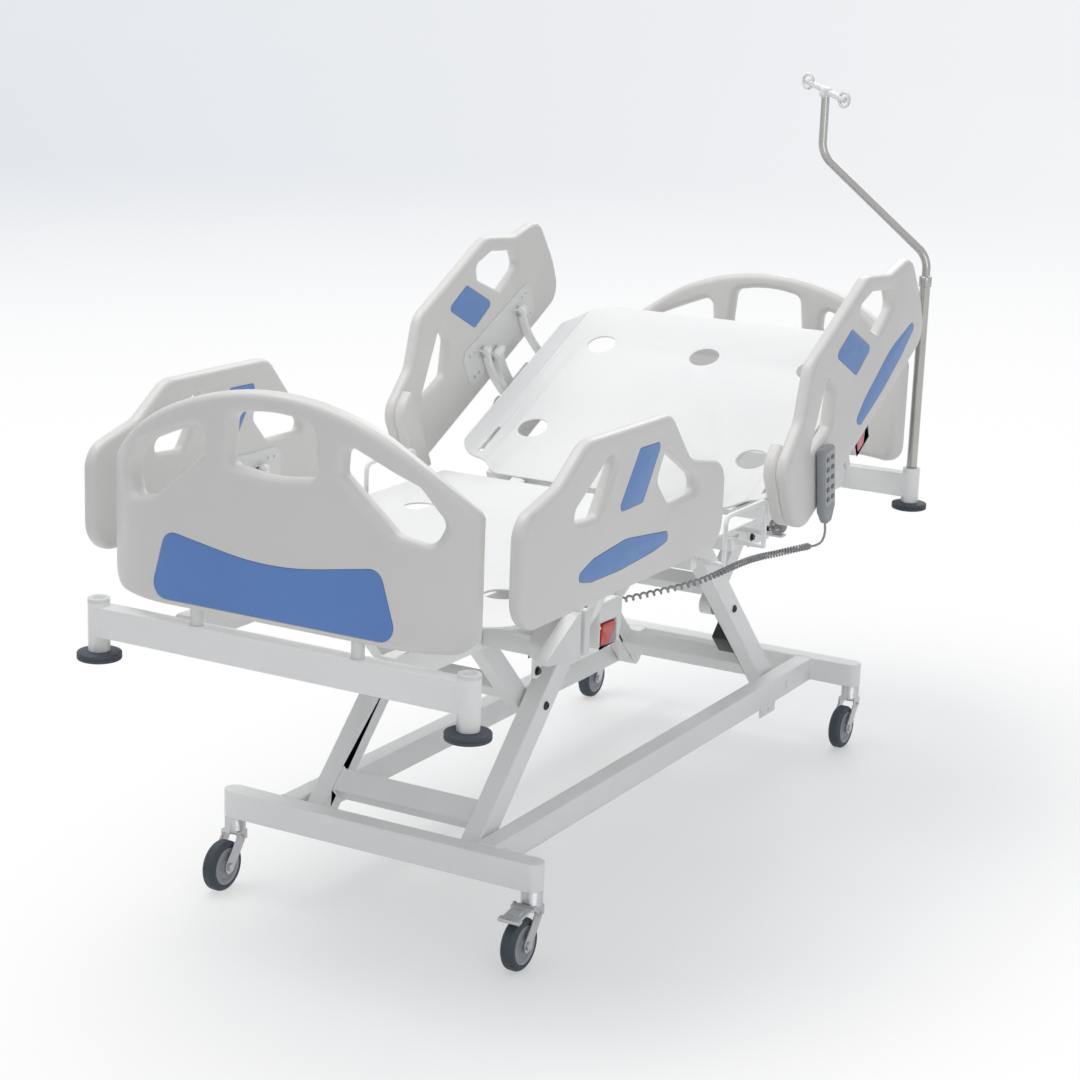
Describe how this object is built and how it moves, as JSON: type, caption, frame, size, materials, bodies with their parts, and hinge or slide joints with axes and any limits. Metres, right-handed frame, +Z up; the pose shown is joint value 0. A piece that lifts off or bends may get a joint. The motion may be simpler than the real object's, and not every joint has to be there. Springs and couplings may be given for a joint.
{
  "type": "medical_bed",
  "caption": "Adjustable hospital bed with a raising backrest and leg rest, scissor-style lift, fold-down side rails, lift-out end boards, castors and an infusion pole",
  "frame": {"origin": "on the floor, below the middle of the upper frame", "axes": "+X across the bed to the side with the handset, +Y along the bed to the head end, +Z up"},
  "size_m": [1.0038, 2.1338, 1.5776],
  "materials": {
    "powder_coat": "satin",
    "sheet_coat": "satin",
    "board_plastic": "matte",
    "cover_plastic": "matte",
    "zinc_steel": "satin",
    "pole_steel": "polished",
    "slate_rubber": "matte",
    "grey_case": "matte",
    "dark_case": "matte",
    "red_plastic": "gloss",
    "handset_plastic": "matte",
    "keypad_film": "satin",
    "cord_rubber": "matte"
  },
  "bodies": {
    "base": {"base_frame": "powder_coat", "base_pivot_pins": "zinc_steel"},
    "castor_fork_fl": {"castor_fork_fl": "zinc_steel"},
    "castor_wheel_fl": {"castor_wheel_fl": "slate_rubber"},
    "castor_fork_fr": {"castor_fork_fr": "zinc_steel"},
    "castor_wheel_fr": {"castor_wheel_fr": "slate_rubber"},
    "castor_fork_rl": {"castor_fork_rl": "zinc_steel"},
    "castor_wheel_rl": {"castor_wheel_rl": "slate_rubber"},
    "castor_fork_rr": {"castor_fork_rr": "zinc_steel"},
    "castor_wheel_rr": {"castor_wheel_rr": "slate_rubber"},
    "brake_pedal_fr": {"brake_pedal_fr": "zinc_steel"},
    "brake_pedal_rl": {"brake_pedal_rl": "zinc_steel"},
    "front_legs": {"front_leg_frame": "powder_coat"},
    "rear_legs": {"rear_leg_frame": "powder_coat"},
    "front_links": {"front_link_frame": "powder_coat"},
    "rear_links": {"rear_link_frame": "powder_coat"},
    "front_carriage": {"front_carriage": "zinc_steel"},
    "rear_carriage": {"rear_carriage": "zinc_steel"},
    "upper_frame": {"upper_frame": "powder_coat", "end_beams": "powder_coat", "bumper_discs": "slate_rubber", "frame_pins": "zinc_steel", "lift_actuators": "grey_case", "control_box": "dark_case", "frame_rail_mounts": "cover_plastic", "backrest_actuator": "grey_case", "leg_actuator": "grey_case", "handset_cord": "cord_rubber", "mains_lead": "cord_rubber", "mains_coil": "cord_rubber", "mains_plug": "cord_rubber"},
    "footboard": {"footboard": "board_plastic"},
    "headboard": {"headboard": "board_plastic"},
    "backrest": {"backrest_sheet": "sheet_coat", "backrest_frame": "powder_coat", "backrest_rail_mounts": "cover_plastic"},
    "leg_section": {"leg_sheet": "sheet_coat", "leg_section_frame": "powder_coat"},
    "backrest_rod": {"backrest_rod": "zinc_steel"},
    "leg_rod": {"leg_rod": "zinc_steel"},
    "iv_pole_lower": {"iv_pole_lower": "pole_steel"},
    "iv_pole_upper": {"iv_pole_upper": "pole_steel"},
    "rail_arms_fl": {"rail_arms_fl": "powder_coat"},
    "rail_link_fl": {"rail_link_fl": "powder_coat"},
    "rail_panel_fl": {"rail_panel_fl": "board_plastic"},
    "rail_release_fl": {"rail_release_fl": "red_plastic"},
    "rail_arms_fr": {"rail_arms_fr": "powder_coat"},
    "rail_link_fr": {"rail_link_fr": "powder_coat"},
    "rail_panel_fr": {"rail_panel_fr": "board_plastic"},
    "rail_release_fr": {"rail_release_fr": "red_plastic"},
    "rail_arms_hl": {"rail_arms_hl": "powder_coat"},
    "rail_link_hl": {"rail_link_hl": "powder_coat"},
    "rail_panel_hl": {"rail_panel_hl": "board_plastic"},
    "rail_release_hl": {"rail_release_hl": "red_plastic"},
    "rail_arms_hr": {"rail_arms_hr": "powder_coat"},
    "rail_link_hr": {"rail_link_hr": "powder_coat"},
    "rail_panel_hr": {"rail_panel_hr": "board_plastic", "handset": "handset_plastic", "handset_keypad": "keypad_film"},
    "rail_release_hr": {"rail_release_hr": "red_plastic"}
  },
  "joints": [
    {"name": "castor_swivel_fl", "type": "hinge", "parent": "base", "child": "castor_fork_fl", "pos_m": [-0.342, -0.682, 0.1447], "axis": [0, 0, 1], "continuous": true},
    {"name": "castor_roll_fl", "type": "hinge", "parent": "castor_fork_fl", "child": "castor_wheel_fl", "pos_m": [-0.342, -0.726, 0.051], "axis": [1, 0, 0], "continuous": true},
    {"name": "castor_swivel_fr", "type": "hinge", "parent": "base", "child": "castor_fork_fr", "pos_m": [0.342, -0.682, 0.1447], "axis": [0, 0, 1], "continuous": true},
    {"name": "castor_roll_fr", "type": "hinge", "parent": "castor_fork_fr", "child": "castor_wheel_fr", "pos_m": [0.342, -0.726, 0.051], "axis": [1, 0, 0], "continuous": true},
    {"name": "castor_swivel_rl", "type": "hinge", "parent": "base", "child": "castor_fork_rl", "pos_m": [-0.342, 0.866, 0.1447], "axis": [0, 0, 1], "continuous": true},
    {"name": "castor_roll_rl", "type": "hinge", "parent": "castor_fork_rl", "child": "castor_wheel_rl", "pos_m": [-0.342, 0.822, 0.051], "axis": [1, 0, 0], "continuous": true},
    {"name": "castor_swivel_rr", "type": "hinge", "parent": "base", "child": "castor_fork_rr", "pos_m": [0.342, 0.866, 0.1447], "axis": [0, 0, 1], "continuous": true},
    {"name": "castor_roll_rr", "type": "hinge", "parent": "castor_fork_rr", "child": "castor_wheel_rr", "pos_m": [0.342, 0.822, 0.051], "axis": [1, 0, 0], "continuous": true},
    {"name": "brake_fr", "type": "hinge", "parent": "castor_fork_fr", "child": "brake_pedal_fr", "pos_m": [0.342, -0.688, 0.104], "axis": [1, 0, 0], "range_deg": [0, 8]},
    {"name": "brake_rl", "type": "hinge", "parent": "castor_fork_rl", "child": "brake_pedal_rl", "pos_m": [-0.342, 0.86, 0.104], "axis": [1, 0, 0], "range_deg": [0, 8]},
    {"name": "lift", "type": "hinge", "parent": "base", "child": "front_legs", "pos_m": [0, -0.62, 0.1725], "axis": [1, 0, 0], "range_deg": [-23, 15]},
    {"name": "front_link_pivot", "type": "hinge", "parent": "front_legs", "child": "front_links", "pos_m": [0, -0.39373, 0.39877], "axis": [1, 0, 0], "range_deg": [-30, 46]},
    {"name": "frame_pivot", "type": "hinge", "parent": "front_links", "child": "upper_frame", "pos_m": [0, -0.62, 0.62505], "axis": [1, 0, 0], "range_deg": [-23, 15]},
    {"name": "front_slide_pivot", "type": "hinge", "parent": "front_legs", "child": "front_carriage", "pos_m": [0, -0.16745, 0.62505], "axis": [1, 0, 0], "range_deg": [-15, 23]},
    {"name": "rear_lift", "type": "hinge", "parent": "base", "child": "rear_legs", "pos_m": [0, 0.705, 0.1725], "axis": [1, 0, 0], "range_deg": [-15, 23]},
    {"name": "rear_link_pivot", "type": "hinge", "parent": "rear_legs", "child": "rear_links", "pos_m": [0, 0.47873, 0.39877], "axis": [1, 0, 0], "range_deg": [-46, 30]},
    {"name": "rear_slide_pivot", "type": "hinge", "parent": "rear_legs", "child": "rear_carriage", "pos_m": [0, 0.25245, 0.62505], "axis": [1, 0, 0], "range_deg": [-23, 15]},
    {"name": "backrest_raise", "type": "hinge", "parent": "upper_frame", "child": "backrest", "pos_m": [0, 0.19, 0.688], "axis": [1, 0, 0], "range_deg": [-26, 44], "deforming": ["handset_cord"]},
    {"name": "leg_raise", "type": "hinge", "parent": "upper_frame", "child": "leg_section", "pos_m": [0, 0.128, 0.688], "axis": [-1, 0, 0], "range_deg": [0, 25]},
    {"name": "backrest_rod_slide", "type": "slide", "parent": "upper_frame", "child": "backrest_rod", "axis": [0, 1, 0], "range_m": [-0.04687, 0.07932]},
    {"name": "leg_rod_slide", "type": "slide", "parent": "upper_frame", "child": "leg_rod", "axis": [0, -1, 0], "range_m": [0, 0.04762]},
    {"name": "footboard_lift", "type": "slide", "parent": "upper_frame", "child": "footboard", "axis": [0, 0, 1], "range_m": [0, 0.15]},
    {"name": "headboard_lift", "type": "slide", "parent": "upper_frame", "child": "headboard", "axis": [0, 0, 1], "range_m": [0, 0.15]},
    {"name": "pole_turn", "type": "hinge", "parent": "upper_frame", "child": "iv_pole_lower", "pos_m": [0.398, 1.025, 0.662], "axis": [0, 0, 1], "continuous": true},
    {"name": "pole_height", "type": "slide", "parent": "iv_pole_lower", "child": "iv_pole_upper", "axis": [0, 0, 1], "range_m": [0, 0.2]},
    {"name": "rail_fold_fl", "type": "hinge", "parent": "upper_frame", "child": "rail_arms_fl", "pos_m": [-0.372, -0.57, 0.655], "axis": [0, -1, 0], "range_deg": [0, 131]},
    {"name": "rail_panel_pivot_fl", "type": "hinge", "parent": "rail_arms_fl", "child": "rail_panel_fl", "pos_m": [-0.424, -0.57, 0.804], "axis": [0, -1, 0], "range_deg": [-131, 0]},
    {"name": "rail_link_pivot_fl", "type": "hinge", "parent": "upper_frame", "child": "rail_link_fl", "pos_m": [-0.372, -0.615, 0.623], "axis": [0, -1, 0], "range_deg": [0, 131]},
    {"name": "rail_release_fl", "type": "hinge", "parent": "upper_frame", "child": "rail_release_fl", "pos_m": [-0.412, -0.562, 0.64], "axis": [0, 1, 0], "range_deg": [0, 18]},
    {"name": "rail_fold_fr", "type": "hinge", "parent": "upper_frame", "child": "rail_arms_fr", "pos_m": [0.372, -0.57, 0.655], "axis": [0, 1, 0], "range_deg": [0, 131]},
    {"name": "rail_panel_pivot_fr", "type": "hinge", "parent": "rail_arms_fr", "child": "rail_panel_fr", "pos_m": [0.424, -0.57, 0.804], "axis": [0, 1, 0], "range_deg": [-131, 0]},
    {"name": "rail_link_pivot_fr", "type": "hinge", "parent": "upper_frame", "child": "rail_link_fr", "pos_m": [0.372, -0.615, 0.623], "axis": [0, 1, 0], "range_deg": [0, 131]},
    {"name": "rail_release_fr", "type": "hinge", "parent": "upper_frame", "child": "rail_release_fr", "pos_m": [0.412, -0.562, 0.64], "axis": [0, -1, 0], "range_deg": [0, 18]},
    {"name": "rail_fold_hl", "type": "hinge", "parent": "backrest", "child": "rail_arms_hl", "pos_m": [-0.392, 0.56598, 0.83188], "axis": [0, -0.8988, -0.4384], "range_deg": [0, 131]},
    {"name": "rail_panel_pivot_hl", "type": "hinge", "parent": "rail_arms_hl", "child": "rail_panel_hl", "pos_m": [-0.444, 0.50066, 0.9658], "axis": [0, -0.8988, -0.4384], "range_deg": [-131, 0]},
    {"name": "rail_link_pivot_hl", "type": "hinge", "parent": "backrest", "child": "rail_link_hl", "pos_m": [-0.392, 0.53956, 0.78339], "axis": [0, -0.8988, -0.4384], "range_deg": [0, 131]},
    {"name": "rail_release_hl", "type": "hinge", "parent": "backrest", "child": "rail_release_hl", "pos_m": [-0.432, 0.57974, 0.8219], "axis": [0, 0.8988, 0.4384], "range_deg": [0, 18]},
    {"name": "rail_fold_hr", "type": "hinge", "parent": "backrest", "child": "rail_arms_hr", "pos_m": [0.392, 0.56598, 0.83188], "axis": [0, 0.8988, 0.4384], "range_deg": [0, 131], "deforming": ["handset_cord"]},
    {"name": "rail_panel_pivot_hr", "type": "hinge", "parent": "rail_arms_hr", "child": "rail_panel_hr", "pos_m": [0.444, 0.50066, 0.9658], "axis": [0, 0.8988, 0.4384], "range_deg": [-131, 0]},
    {"name": "rail_link_pivot_hr", "type": "hinge", "parent": "backrest", "child": "rail_link_hr", "pos_m": [0.392, 0.53956, 0.78339], "axis": [0, 0.8988, 0.4384], "range_deg": [0, 131]},
    {"name": "rail_release_hr", "type": "hinge", "parent": "backrest", "child": "rail_release_hr", "pos_m": [0.432, 0.57974, 0.8219], "axis": [0, -0.8988, -0.4384], "range_deg": [0, 18]}
  ],
  "couplings": [
    {"joint": "front_link_pivot", "follows": "lift", "ratio": -2},
    {"joint": "frame_pivot", "follows": "lift", "ratio": 1},
    {"joint": "front_slide_pivot", "follows": "lift", "ratio": -1},
    {"joint": "rear_lift", "follows": "lift", "ratio": -1},
    {"joint": "rear_link_pivot", "follows": "lift", "ratio": 2},
    {"joint": "rear_slide_pivot", "follows": "lift", "ratio": 1},
    {"joint": "backrest_rod_slide", "follows": "backrest_raise", "m_per_rad": 0.10329},
    {"joint": "leg_rod_slide", "follows": "leg_raise", "m_per_rad": 0.10913},
    {"joint": "rail_panel_pivot_fl", "follows": "rail_fold_fl", "ratio": -1},
    {"joint": "rail_link_pivot_fl", "follows": "rail_fold_fl", "ratio": 1},
    {"joint": "rail_panel_pivot_fr", "follows": "rail_fold_fr", "ratio": -1},
    {"joint": "rail_link_pivot_fr", "follows": "rail_fold_fr", "ratio": 1},
    {"joint": "rail_panel_pivot_hl", "follows": "rail_fold_hl", "ratio": -1},
    {"joint": "rail_link_pivot_hl", "follows": "rail_fold_hl", "ratio": 1},
    {"joint": "rail_panel_pivot_hr", "follows": "rail_fold_hr", "ratio": -1},
    {"joint": "rail_link_pivot_hr", "follows": "rail_fold_hr", "ratio": 1}
  ]
}
